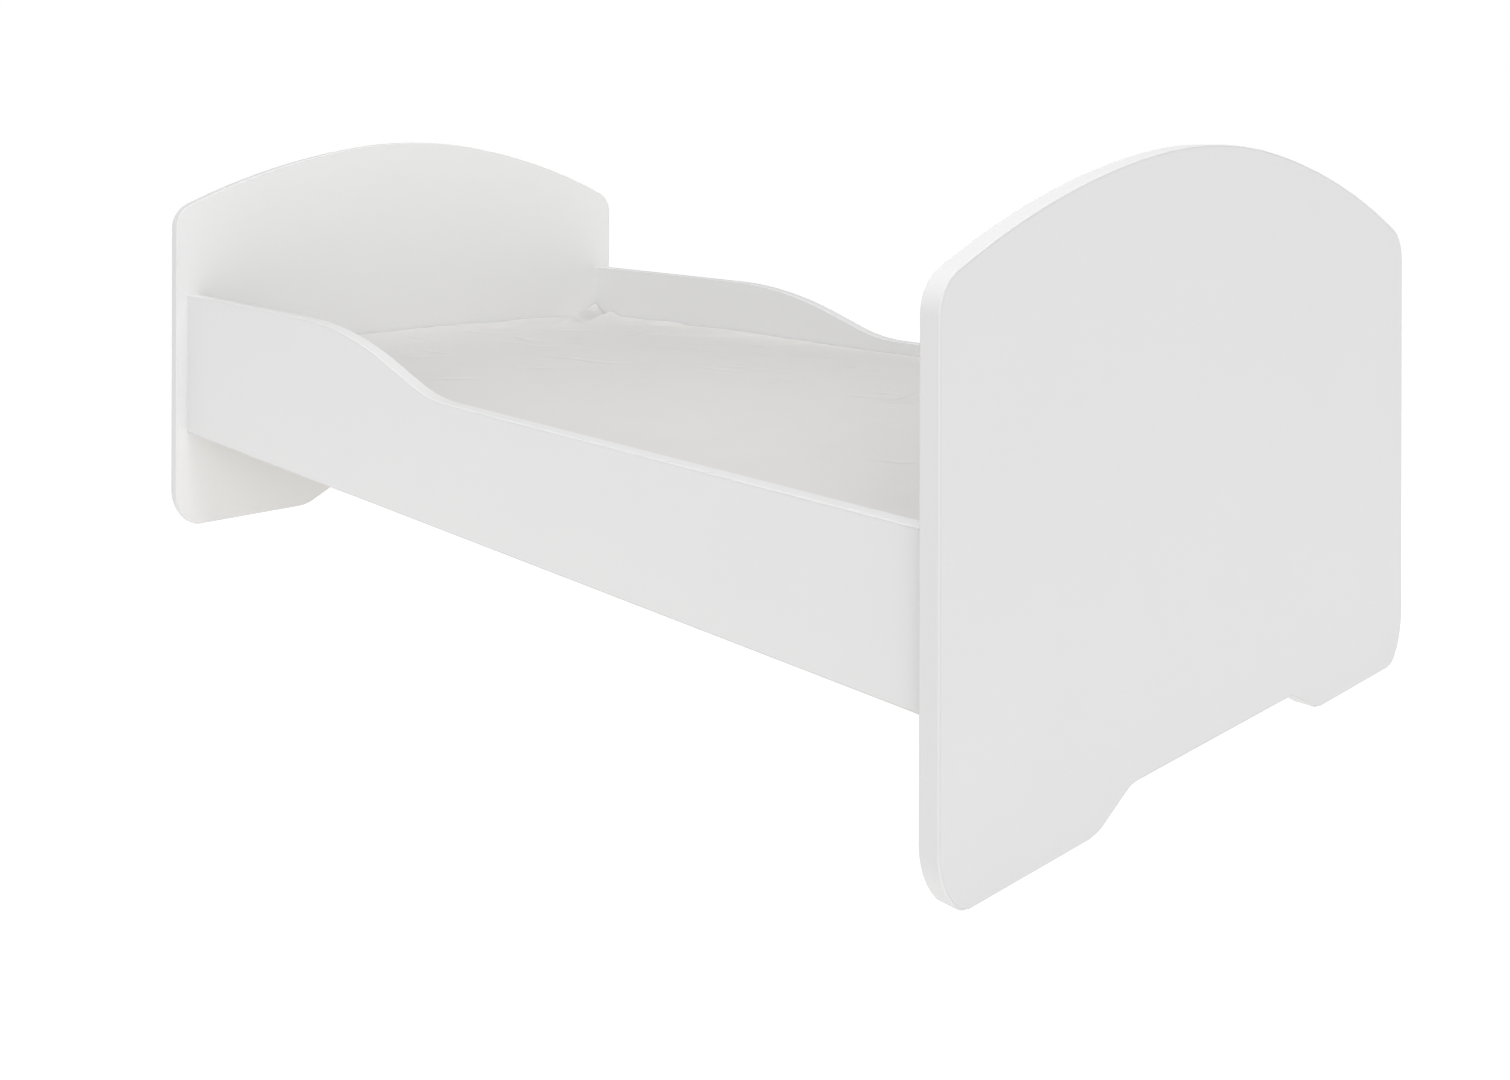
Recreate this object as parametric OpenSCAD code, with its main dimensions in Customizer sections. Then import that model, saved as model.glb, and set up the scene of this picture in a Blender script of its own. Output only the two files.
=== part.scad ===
// Toddler bed: two arched end boards, two side rails with a stepped top, a roll-up
// slatted base on battens and a foam mattress in a fitted sheet.
// +X points to the foot end, -Y to the front, +Z up. The origin is on the floor, in the
// middle of the bed.

/* [Bed] */
// Overall length, over both end boards
bed_length = 1646; // [1400:1:2000]
// Overall width, over the end boards
bed_width = 890; // [780:1:1000]
// Height at the top of the arch
bed_height = 637; // [600:1:700]
// Thickness of the plastic edging on every laminated board
band_t = 2; // [1:0.5:3]

/* [End boards] */
// Thickness of an end board
end_t = 22; // [18:1:25]
// Radius of the middle of the arch
crown_r = 735; // [700:5:800]
// Half the width of the middle stretch of the arch
crown_half = 110; // [80:5:120]
// Radius of the two flanks of the arch
flank_r = 1109; // [1000:1:1200]
// Radius of the upper corners
shoulder_r = 43; // [30:1:60]
// Radius of the lower corners where they leave the side edge
ankle_r = 75; // [50:1:90]
// Radius of the lower corners where they reach the floor
toe_r = 24; // [15:1:30]
// Height of the cut-out between the feet
arch_gap_h = 29; // [20:1:40]
// Half the width of the level top of the cut-out
arch_gap_half = 149; // [100:1:180]
// Radius at both ends of the cut-out's slope
arch_gap_r = 45; // [30:1:60]
// Slope of the cut-out's ends
arch_gap_angle = 27; // [20:1:35]

/* [Side rails] */
// Thickness of a rail
rail_t = 18; // [16:1:22]
// Distance from the edge of the end board to the rail's outer face
rail_inset = 18; // [10:1:30]
// Height of the rail's lower edge above the floor
rail_bottom = 156; // [120:1:200]
// Height of the rail's top at the foot end
rail_low = 314; // [290:1:340]
// Height of the rail's top at the head end
rail_high = 383; // [360:1:420]
// Where the rail's top starts to fall, measured from the middle of the bed
step_x = -372; // [-450:1:-300]
// Radius of the upper bend of the step
step_upper_r = 830; // [600:10:900]
// Radius of the lower bend of the step
step_lower_r = 300; // [200:10:400]
// Steepest slope of the step
step_angle = 16.86; // [15:0.01:20]

/* [Slatted base] */
// Number of slats
slat_count = 13; // [10:1:13]
// Width of a slat
slat_w = 68; // [50:1:80]
// Thickness of a slat
slat_t = 15; // [12:1:18]
// Clearance between a slat's end and the rail
slat_gap = 3; // [2:0.5:6]
// Width of a batten, measured from the rail
batten_w = 22; // [18:1:30]
// Height of a batten
batten_h = 28; // [20:1:30]
// Height of the batten's lower edge above the rail's lower edge
batten_lift = 3; // [0:1:6]
// Clearance between a batten's end and the end board
batten_end_gap = 6; // [2:1:20]
// Distance from the middle of the bed to a tape
tape_y = 320; // [200:5:340]
// Width of a tape
tape_w = 25; // [20:1:40]
// Thickness of a tape
tape_t = 1.5; // [1:0.5:2]

/* [Mattress] */
// Clearance between the sheet and the frame
mattress_gap = 2; // [1:0.5:6]
// Height of the mattress with its sheet
mattress_h = 90; // [70:1:100]
// Thickness of the fitted sheet
sheet_t = 1; // [0.5:0.5:2]
// Thickness of the mattress cover
cover_t = 1.5; // [1:0.5:3]
// Width of the sheet's turn-under below the mattress
hem_w = 90; // [60:5:120]
// Width of the elastic in the turn-under
elastic_w = 8; // [5:1:12]

/* [Fittings] */
// Distance from the rail's end to the centre of a cam lock
cam_x = 34; // [24:1:34]
// Radius of a cam lock
cam_r = 7.4; // [7:0.1:7.4]
// Depth of a cam lock
cam_h = 12.6; // [12:0.1:13]
// Radius of a dowel
dowel_r = 4; // [3:0.5:5]
// Length of a dowel
dowel_l = 36; // [30:1:40]
// Radius of a batten screw's shank
screw_r = 2; // [1.5:0.5:2.5]
// Number of screws in each batten
screw_count = 6; // [4:1:8]

/* [Hidden] */

$fn = 48;
board_color = "#e6e6e4";
band_color = "#ebebea";
pine_color = "#dcbf92";
tape_color = "#e9e6de";
steel_color = "#b9bbbd";
zinc_color = "#c9cacb";
foam_color = "#ece6cf";
cover_color = "#efefec";
sheet_color = "#d8d6d3";

eps = 0.5;                    // how far a cutter runs past a face
fit_gap = 0.1;                // radial clearance of a fitting in its hole
arc_step = 3;                 // most degrees between two points of an arc
arc_chord = 20;               // most millimetres between two points of an arc
inner_x = bed_length / 2 - end_t;
rail_outer_y = bed_width / 2 - rail_inset;
rail_inner_y = rail_outer_y - rail_t;
rail_mid_y = rail_outer_y - rail_t / 2;

// A point of a circle, and a run of points along an arc of it.
function on_circle(c, r, a) = c + r * [cos(a), sin(a)];
function arc(c, r, a0, a1) =
    let (n = max(ceil(abs(a1 - a0) / arc_step), ceil(abs(a1 - a0) * r * PI / 180 / arc_chord)))
    [for (i = [0:n]) on_circle(c, r, a0 + (a1 - a0) * i / n)];
function mirrored(points) = [for (i = [len(points) - 1:-1:0]) [-points[i].x, points[i].y]];

// Centres of the end board's arcs, in its own plane: width across, height up.
crown_angle = acos(crown_half / crown_r);
crown_c = [0, bed_height - crown_r];
flank_c = on_circle(crown_c, crown_r - flank_r, crown_angle);
shoulder_y = bed_width / 2 - shoulder_r;
shoulder_c = [
    shoulder_y,
    flank_c.y + sqrt(pow(flank_r - shoulder_r, 2) - pow(shoulder_y - flank_c.x, 2))
];
shoulder_angle = atan2(shoulder_c.y - flank_c.y, shoulder_c.x - flank_c.x);
ankle_c = [
    bed_width / 2 - ankle_r,
    toe_r + (ankle_r - toe_r) * sin(45)
];
toe_c = on_circle(ankle_c, ankle_r - toe_r, -45);
slope_run = 2 * arch_gap_r * sin(arch_gap_angle)
    + (arch_gap_h - 2 * arch_gap_r * (1 - cos(arch_gap_angle))) / tan(arch_gap_angle);
sole_inner_y = arch_gap_half + slope_run;

// Half of the end board's outline, drawn in by d, from the crown round to the cut-out.
// The soles are never drawn in, because they carry no edging.
function half_end(d) = concat(
    arc(crown_c, crown_r - d, 90, crown_angle),
    arc(flank_c, flank_r - d, crown_angle, shoulder_angle),
    arc(shoulder_c, shoulder_r - d, shoulder_angle, 0),
    arc(ankle_c, ankle_r - d, 0, -45),
    arc(toe_c, toe_r - d, -45, -90),
    d > 0 ? [[toe_c.x, 0], [sole_inner_y, 0]] : [],
    arc([sole_inner_y, arch_gap_r], arch_gap_r - d, -90, -90 - arch_gap_angle),
    arc([arch_gap_half, arch_gap_h - arch_gap_r], arch_gap_r + d, 90 - arch_gap_angle, 90)
);

// The rail's outline, drawn in by d: length across, height up.
step_bends = step_upper_r + step_lower_r;
step_run = step_bends * sin(step_angle)
    + (rail_high - rail_low - step_bends * (1 - cos(step_angle))) / tan(step_angle);
function rail_outline(d) = concat(
    [[-inner_x + d, rail_bottom + d], [-inner_x + d, rail_high - d]],
    arc([step_x, rail_high - step_upper_r], step_upper_r - d, 90, 90 - step_angle),
    arc([step_x + step_run, rail_low + step_lower_r], step_lower_r + d, -90 - step_angle, -90),
    [[inner_x - d, rail_low - d], [inner_x - d, rail_bottom + d]]
);

// Heights of the fittings at each end of a rail.
dowel_heights = [178, 247, 304];
cam_heights = [212, 282];
cam_bore_r = 7.5;
cam_bore_depth = 13;
bolt_hole_r = 4;
bolt_thread_r = 3.4;
bolt_thread_l = 11;
bolt_neck_r = 2.5;
bolt_head_r = 3.5;
bolt_head_l = 3;
dowel_in_end = 12;

batten_z = rail_bottom + batten_lift;
batten_l = 2 * (inner_x - batten_end_gap);
screw_z = batten_z + batten_h / 2;
screw_head_r = 4;
screw_head_l = 2.5;
screw_l = 34;
screw_pitch = (batten_l - 120) / (screw_count - 1);

slat_z = batten_z + batten_h;
slat_l = 2 * (rail_inner_y - slat_gap);
slat_pitch = 2 * inner_x / slat_count;
tape_l = slat_pitch * (slat_count - 1) + slat_w;
staple_w = 12;
staple_leg = 9;
staple_wire = 1;

mattress_z = slat_z + slat_t;
mattress_l = 2 * (inner_x - mattress_gap);
mattress_w = 2 * (rail_inner_y - mattress_gap);

// Lays a drawing of width and height upright across the bed, thick along X from x.
module across_bed(x, thickness) {
    translate([x, 0, 0])
        rotate([90, 0, 90])
            linear_extrude(thickness)
                children();
}

// Lays a drawing of length and height upright along the bed, thick along Y from y.
module along_bed(y, thickness) {
    translate([0, y + thickness, 0])
        rotate([90, 0, 0])
            linear_extrude(thickness)
                children();
}

// A box centred on X and Y, standing on z.
module slab(length, width, z, height) {
    translate([-length / 2, -width / 2, z])
        cube([length, width, height]);
}

// Places a fitting at every rail end, its +X pointing from the end board into the rail.
module at_rail_ends(heights) {
    for (end = [-1, 1], side = [-1, 1], z = heights)
        translate([end * inner_x, side * rail_mid_y, z])
            mirror([end > 0 ? 1 : 0, 0, 0])
                mirror([0, side > 0 ? 1 : 0, 0])
                    children();
}

module rod(r, length) {
    rotate([0, 90, 0])
        cylinder(r = r, h = length);
}

// Holes for dowels and cam bolts, in the end board and in the rail's end.
module dowel_hole() {
    translate([-dowel_in_end - fit_gap, 0, 0])
        rod(dowel_r + fit_gap, dowel_l + 2 * fit_gap);
}

module bolt_hole() {
    translate([-bolt_thread_l, 0, 0])
        rod(bolt_thread_r + fit_gap, bolt_thread_l + eps);
    rod(bolt_hole_r, cam_x);
}

module joint_holes() {
    at_rail_ends(dowel_heights)
        dowel_hole();
    at_rail_ends(cam_heights)
        bolt_hole();
}

module cam_holes() {
    at_rail_ends(cam_heights)
        translate([cam_x, rail_t / 2 - cam_bore_depth, 0])
            rotate([-90, 0, 0])
                cylinder(r = cam_bore_r, h = cam_bore_depth + eps);
}

// Places a screw at each fixing of a batten, its +Z pointing out of the batten.
module at_screws() {
    for (side = [-1, 1], i = [0:screw_count - 1])
        translate([(i - (screw_count - 1) / 2) * screw_pitch, side * (rail_inner_y - batten_w), screw_z])
            rotate([side * 90, 0, 0])
                children();
}

module screw_shape(gap) {
    translate([0, 0, -screw_l])
        cylinder(r = screw_r + gap, h = screw_l - screw_head_l);
    translate([0, 0, -screw_head_l])
        cylinder(r1 = screw_r + gap, r2 = screw_head_r + gap, h = screw_head_l);
}

module screw_holes() {
    at_screws() {
        screw_shape(fit_gap);
        cylinder(r = screw_head_r + fit_gap, h = eps);
    }
}

// The end board's flat shape, drawn in by d.
module end_shape(d) {
    polygon(concat(half_end(d), mirrored(half_end(d))));
}

module end_panel(x) {
    difference() {
        across_bed(x, end_t)
            end_shape(band_t);
        joint_holes();
    }
}

module end_band(x) {
    across_bed(x, end_t)
        difference() {
            end_shape(0);
            end_shape(band_t);
        }
}

module headboard_panel() {
    color(board_color)
        end_panel(-bed_length / 2);
}

module headboard_edge_band() {
    color(band_color)
        end_band(-bed_length / 2);
}

module footboard_panel() {
    color(board_color)
        end_panel(inner_x);
}

module footboard_edge_band() {
    color(band_color)
        end_band(inner_x);
}

module rail_panel(y) {
    difference() {
        along_bed(y, rail_t)
            polygon(rail_outline(band_t));
        joint_holes();
        cam_holes();
        screw_holes();
    }
}

module rail_band(y) {
    difference() {
        along_bed(y, rail_t)
            difference() {
                polygon(rail_outline(0));
                polygon(rail_outline(band_t));
            }
        joint_holes();
    }
}

module front_rail_panel() {
    color(board_color)
        rail_panel(-rail_outer_y);
}

module front_rail_edge_band() {
    color(band_color)
        rail_band(-rail_outer_y);
}

module rear_rail_panel() {
    color(board_color)
        rail_panel(rail_inner_y);
}

module rear_rail_edge_band() {
    color(band_color)
        rail_band(rail_inner_y);
}

module batten(y) {
    color(pine_color)
        difference() {
            translate([-batten_l / 2, y, batten_z])
                cube([batten_l, batten_w, batten_h]);
            screw_holes();
        }
}

module front_batten() {
    batten(-rail_inner_y);
}

module rear_batten() {
    batten(rail_inner_y - batten_w);
}

module batten_screws() {
    color(zinc_color)
        at_screws()
            difference() {
                screw_shape(0);
                for (turn = [0, 90])
                    rotate([0, 0, turn])
                        translate([-screw_r, -0.4, -1.5])
                            cube([2 * screw_r, 0.8, 1.5 + eps]);
            }
}

// A cam drum: a socket that takes the bolt's head from the rail's end, and a cross slot.
module cam_locks() {
    color(zinc_color)
        at_rail_ends(cam_heights)
            difference() {
                translate([cam_x, rail_t / 2 - cam_h, 0])
                    rotate([-90, 0, 0])
                        cylinder(r = cam_r, h = cam_h);
                translate([cam_x - 2 * cam_r, 0, 0])
                    rod(bolt_hole_r, 2 * cam_r + 1);
                for (turn = [0, 90])
                    translate([cam_x, rail_t / 2 - 2, 0])
                        rotate([0, turn, 0])
                            translate([-4, 0, -0.6])
                                cube([8, 2 + eps, 1.2]);
            }
}

module cam_bolts() {
    color(steel_color)
        at_rail_ends(cam_heights) {
            translate([-bolt_thread_l + eps, 0, 0])
                rod(bolt_thread_r, bolt_thread_l - eps);
            rod(bolt_neck_r, cam_x - bolt_head_l);
            translate([cam_x - bolt_head_l, 0, 0])
                rod(bolt_head_r, bolt_head_l);
        }
}

module dowels() {
    color(pine_color)
        at_rail_ends(dowel_heights)
            translate([-dowel_in_end, 0, 0])
                rod(dowel_r, dowel_l);
}

function slat_x(i) = (i - (slat_count - 1) / 2) * slat_pitch;

// A flat-wire staple below a slat: the crown lies under the tape, the legs point up.
module staple() {
    translate([-staple_w / 2, -staple_wire / 2, slat_z - tape_t - staple_wire]) {
        cube([staple_w, staple_wire, staple_wire]);
        for (x = [0, staple_w - staple_wire])
            translate([x, 0, 0])
                cube([staple_wire, staple_wire, staple_leg]);
    }
}

module staples_of(i) {
    for (side = [-1, 1])
        translate([slat_x(i), side * tape_y, 0])
            staple();
}

module slat(i) {
    color(pine_color)
        difference() {
            translate([slat_x(i), 0, 0])
                slab(slat_w, slat_l, slat_z, slat_t);
            staples_of(i);
        }
}

module slat_tape(y) {
    color(tape_color)
        difference() {
            translate([0, y, 0])
                slab(tape_l, tape_w, slat_z - tape_t, tape_t);
            for (i = [0:slat_count - 1])
                staples_of(i);
        }
}

module front_slat_tape() {
    slat_tape(-tape_y);
}

module rear_slat_tape() {
    slat_tape(tape_y);
}

module slat_staples() {
    color(steel_color)
        for (i = [0:slat_count - 1])
            staples_of(i);
}

// One layer of the mattress: a box drawn in by d on every side.
module mattress_layer(d) {
    slab(mattress_l - 2 * d, mattress_w - 2 * d, mattress_z + d, mattress_h - 2 * d);
}

module mattress_core() {
    color(foam_color)
        mattress_layer(sheet_t + cover_t);
}

module cover_base_shape() {
    slab(mattress_l - 2 * sheet_t, mattress_w - 2 * sheet_t, mattress_z + sheet_t, cover_t);
}

module mattress_cover_top() {
    color(cover_color)
        difference() {
            mattress_layer(sheet_t);
            mattress_layer(sheet_t + cover_t);
            cover_base_shape();
        }
}

module mattress_cover_base() {
    color(cover_color)
        cover_base_shape();
}

// The hole that the elastic draws up below the mattress, widened by d.
module hem_hole(d) {
    slab(mattress_l - 2 * (hem_w - d), mattress_w - 2 * (hem_w - d), mattress_z - eps, sheet_t + 2 * eps);
}

module fitted_sheet() {
    color(sheet_color)
        difference() {
            mattress_layer(0);
            mattress_layer(sheet_t);
            hem_hole(elastic_w);
        }
}

module sheet_elastic() {
    color(cover_color)
        difference() {
            slab(
                mattress_l - 2 * (hem_w - elastic_w),
                mattress_w - 2 * (hem_w - elastic_w),
                mattress_z,
                sheet_t
            );
            hem_hole(0);
        }
}

headboard_panel();
headboard_edge_band();
footboard_panel();
footboard_edge_band();
front_rail_panel();
front_rail_edge_band();
rear_rail_panel();
rear_rail_edge_band();
front_batten();
rear_batten();
batten_screws();
cam_locks();
cam_bolts();
dowels();
slat(0);  // slat_01
slat(1);  // slat_02
slat(2);  // slat_03
slat(3);  // slat_04
slat(4);  // slat_05
slat(5);  // slat_06
slat(6);  // slat_07
slat(7);  // slat_08
slat(8);  // slat_09
slat(9);  // slat_10
slat(10);  // slat_11
slat(11);  // slat_12
slat(12);  // slat_13
front_slat_tape();
rear_slat_tape();
slat_staples();
mattress_core();
mattress_cover_top();
mattress_cover_base();
fitted_sheet();
sheet_elastic();
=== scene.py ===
"""Looks of the toddler bed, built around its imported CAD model.

The boards, battens and fittings keep their CAD shape and get materials. The edging, the slats,
the webbing and the whole mattress are detailed pieces that stand for their CAD nodes.
Lengths are in millimetres until a mesh is made, and angles are in degrees.
"""

import math

import bpy
import numpy as np
from mathutils import Matrix, Vector


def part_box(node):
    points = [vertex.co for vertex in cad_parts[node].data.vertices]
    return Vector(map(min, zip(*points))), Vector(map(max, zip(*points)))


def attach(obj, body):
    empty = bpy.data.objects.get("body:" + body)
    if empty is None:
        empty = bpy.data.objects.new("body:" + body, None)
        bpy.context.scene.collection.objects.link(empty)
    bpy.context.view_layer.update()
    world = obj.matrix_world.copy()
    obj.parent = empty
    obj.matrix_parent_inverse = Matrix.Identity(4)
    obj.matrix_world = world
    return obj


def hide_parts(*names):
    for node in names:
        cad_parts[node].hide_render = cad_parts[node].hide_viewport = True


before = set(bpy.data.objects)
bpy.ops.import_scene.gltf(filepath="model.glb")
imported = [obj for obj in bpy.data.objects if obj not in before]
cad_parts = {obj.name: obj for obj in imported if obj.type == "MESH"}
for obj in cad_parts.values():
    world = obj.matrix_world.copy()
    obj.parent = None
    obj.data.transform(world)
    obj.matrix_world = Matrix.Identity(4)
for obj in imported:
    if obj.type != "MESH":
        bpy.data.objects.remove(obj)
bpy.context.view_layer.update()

MM = 0.001


def box_mm(node):
    """Lowest and highest corner of a CAD node, in millimetres."""
    return [np.array(corner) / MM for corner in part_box(node)]


# ---- Driving dimensions, the same as the CAD model's ----

HEAD_BOX = box_mm("headboard_edge_band")
FOOT_BOX = box_mm("footboard_edge_band")
FRONT_BOX = box_mm("front_rail_edge_band")
REAR_BOX = box_mm("rear_rail_edge_band")
SHEET_BOX = box_mm("fitted_sheet")

BAND_T = 2.0            # thickness of the edging
ARRIS_R = 1.6           # rounding of the edging's outer edges
SEAM_LIP = 0.22         # chamfer of the edging where it meets the board
SUPPORT = 0.3           # how far a flat's support points are from its rounding

END_HALF_WIDTH = HEAD_BOX[1][1]
END_HEIGHT = HEAD_BOX[1][2]
CROWN_R, CROWN_HALF, FLANK_R = 735.0, 110.0, 1109.0
SHOULDER_R, ANKLE_R, TOE_R = 43.0, 75.0, 24.0
GAP_H, GAP_HALF, GAP_R, GAP_ANGLE = 29.0, 149.0, 45.0, 27.0

RAIL_HALF_LENGTH = FRONT_BOX[1][0]
RAIL_BOTTOM = FRONT_BOX[0][2]
RAIL_HEAD_TOP = FRONT_BOX[1][2]
RAIL_FOOT_TOP = 314.0
STEP_X, STEP_ANGLE = -372.0, 16.86
STEP_UPPER_R, STEP_LOWER_R = 830.0, 300.0

ARC_STEP = 3.0          # most degrees between two points of an outline's arc
ARC_CHORD = 20.0        # most millimetres between them

HALF_L, HALF_W = SHEET_BOX[1][0], SHEET_BOX[1][1]
BED_Z, TOP_Z = SHEET_BOX[0][2], SHEET_BOX[1][2]
HEM_W, ELASTIC_W = 90.0, 8.0
SLAT_COUNT = 13
SLAT_PLANED = 0.99      # a slat's thickness, as a share of the CAD's

# ---- Mesh helpers ----


def add_object(name, points, faces, sharp=35):
    """Makes a mesh object from millimetre points, smooth except over sharp angles."""
    mesh = bpy.data.meshes.new(name)
    mesh.from_pydata((np.asarray(points) * MM).tolist(), [], faces)
    mesh.polygons.foreach_set("use_smooth", [True] * len(mesh.polygons))
    mesh.set_sharp_from_angle(angle=math.radians(sharp))
    obj = bpy.data.objects.new(name, mesh)
    bpy.context.scene.collection.objects.link(obj)
    return obj


def face_out(obj):
    """Turns a closed mesh's faces outwards."""
    mesh = obj.data
    volume = 0.0
    mesh.calc_loop_triangles()
    for triangle in mesh.loop_triangles:
        a, b, c = (mesh.vertices[i].co for i in triangle.vertices)
        volume += a.dot(b.cross(c))
    if volume < 0:
        mesh.flip_normals()
    return obj


def loft(name, rings, closed=False, sharp=35):
    """Skins a row of closed rings, an array of (ring, point, xyz), and caps its ends."""
    rings = np.asarray(rings, float)
    count, size = rings.shape[:2]
    faces = []
    for i in range(count if closed else count - 1):
        a, b = i * size, (i + 1) % count * size
        faces += [(a + j, b + j, b + (j + 1) % size, a + (j + 1) % size) for j in range(size)]
    if not closed:
        faces.append(tuple(reversed(range(size))))
        faces.append(tuple(range((count - 1) * size, count * size)))
    return face_out(add_object(name, rings.reshape(-1, 3), faces, sharp))


def without_repeats(points):
    """The points, without those that repeat the one before."""
    kept = points[:1]
    for point in points[1:]:
        if math.dist(point, kept[-1]) > 1e-6:
            kept.append(point)
    return kept


def set_material(obj, material):
    obj.data.materials.clear()
    obj.data.materials.append(material)


# ---- Outlines of the boards, drawn in by an inset ----


def on_circle(center, radius, degrees):
    angle = math.radians(degrees)
    return center[0] + radius * math.cos(angle), center[1] + radius * math.sin(angle)


def arc(center, radius, start, end, inset, outward=1):
    """Points of an arc. The inset shrinks a corner's radius, and grows it where outward is -1.

    The number of points is the one that the CAD board has, so that the edging fits it.
    """
    seam_r = radius - outward * BAND_T
    turn = abs(end - start)
    count = max(math.ceil(turn / ARC_STEP), math.ceil(math.radians(turn) * seam_r / ARC_CHORD))
    step = (end - start) / count
    return [on_circle(center, radius - outward * inset, start + step * i) for i in range(count + 1)]


def end_centers():
    """Centres and angles of the end board's arcs, across and up."""
    crown_angle = math.degrees(math.acos(CROWN_HALF / CROWN_R))
    crown = (0.0, END_HEIGHT - CROWN_R)
    flank = on_circle(crown, CROWN_R - FLANK_R, crown_angle)
    shoulder_y = END_HALF_WIDTH - SHOULDER_R
    rise = math.sqrt((FLANK_R - SHOULDER_R) ** 2 - (shoulder_y - flank[0]) ** 2)
    shoulder = (shoulder_y, flank[1] + rise)
    shoulder_angle = math.degrees(math.atan2(shoulder[1] - flank[1], shoulder[0] - flank[0]))
    ankle = (END_HALF_WIDTH - ANKLE_R, TOE_R + (ANKLE_R - TOE_R) * math.sin(math.radians(45)))
    toe = on_circle(ankle, ANKLE_R - TOE_R, -45)
    return crown, crown_angle, flank, shoulder, shoulder_angle, ankle, toe


def mirrored(points):
    return [(-across, up) for across, up in reversed(points)]


def end_over_top(inset):
    """From the sole of one foot over the arch to the sole of the other."""
    crown, crown_angle, flank, shoulder, shoulder_angle, ankle, toe = end_centers()
    half = (
        arc(crown, CROWN_R, 90, crown_angle, inset)
        + arc(flank, FLANK_R, crown_angle, shoulder_angle, inset)
        + arc(shoulder, SHOULDER_R, shoulder_angle, 0, inset)
        + arc(ankle, ANKLE_R, 0, -45, inset)
        + arc(toe, TOE_R, -45, -90, inset)
    )
    return without_repeats(mirrored(half) + half)


def end_cut_out(inset):
    """From sole to sole along the cut-out between the feet."""
    slope = math.radians(GAP_ANGLE)
    bends = 2 * GAP_R
    run = bends * math.sin(slope) + (GAP_H - bends * (1 - math.cos(slope))) / math.tan(slope)
    half = (
        arc((GAP_HALF + run, GAP_R), GAP_R, -90, -90 - GAP_ANGLE, inset)
        + arc((GAP_HALF, GAP_H - GAP_R), GAP_R, 90 - GAP_ANGLE, 90, inset, outward=-1)
    )
    return without_repeats(half + mirrored(half))


def rail_outline(inset):
    """The rail's whole outline, along and up. Its ends stay square, to butt against the boards."""
    slope = math.radians(STEP_ANGLE)
    bends = STEP_UPPER_R + STEP_LOWER_R
    drop = RAIL_HEAD_TOP - RAIL_FOOT_TOP - bends * (1 - math.cos(slope))
    run = bends * math.sin(slope) + drop / math.tan(slope)
    upper = (STEP_X, RAIL_HEAD_TOP - STEP_UPPER_R)
    lower = (STEP_X + run, RAIL_FOOT_TOP + STEP_LOWER_R)
    end = RAIL_HALF_LENGTH - (inset if inset > ARRIS_R else 0.0)
    return (
        [(-end, RAIL_BOTTOM + inset), (-end, RAIL_HEAD_TOP - inset)]
        + arc(upper, STEP_UPPER_R, 90, 90 - STEP_ANGLE, inset)
        + arc(lower, STEP_LOWER_R, -90 - STEP_ANGLE, -90, inset, outward=-1)
        + [(end, RAIL_FOOT_TOP - inset), (end, RAIL_BOTTOM + inset)]
    )


# ---- Edging: a strip round each board, with rounded arrises and a fine seam ----


def band_profile(thickness):
    """The strip's section, as (inset, depth through the board)."""
    steps = 6
    rounding = []
    for i in range(steps + 1):
        angle = math.radians(90 * i / steps)
        rounding.append((ARRIS_R * (1 - math.cos(angle)), ARRIS_R * (1 - math.sin(angle))))
    near = (
        [(0.0, ARRIS_R + SUPPORT)]
        + rounding
        + [(BAND_T - SEAM_LIP, 0.0), (BAND_T, SEAM_LIP)]
    )
    far = [(inset, thickness - depth) for inset, depth in reversed(near)]
    return near + far


def band_rings(outline, low, high, place):
    """The strip's section at every point of the outline, as an array of (ring, point, xyz)."""
    profile = band_profile(high - low)
    columns = []
    for inset, depth in profile:
        columns.append([place(across, up, low + depth) for across, up in outline(inset)])
    return np.array(columns).transpose(1, 0, 2)


def across_bed(across, up, depth):
    return depth, across, up


def along_bed(along, up, depth):
    return along, depth, up


def join(name, parts):
    """Joins objects into the first one and names it."""
    bpy.ops.object.select_all(action="DESELECT")
    for part in parts:
        part.select_set(True)
    bpy.context.view_layer.objects.active = parts[0]
    bpy.ops.object.join()
    parts[0].name = name
    return parts[0]


def end_edging(name, box):
    strips = [end_over_top, end_cut_out]
    parts = [
        loft(f"{name}_{i}", band_rings(strip, box[0][0], box[1][0], across_bed))
        for i, strip in enumerate(strips)
    ]
    return join(name, parts)


def rail_edging(name, box):
    return loft(name, band_rings(rail_outline, box[0][1], box[1][1], along_bed), closed=True)


# ---- Slats and webbing ----


def rounded_section(half_w, half_h, radius, steps=4):
    """A rectangle's outline with rounded corners, anticlockwise."""
    points = []
    for corner, (sx, sy) in enumerate([(1, 1), (-1, 1), (-1, -1), (1, -1)]):
        center = sx * (half_w - radius), sy * (half_h - radius)
        for i in range(steps + 1):
            points.append(on_circle(center, radius, corner * 90 + 90 * i / steps))
    return points


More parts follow.
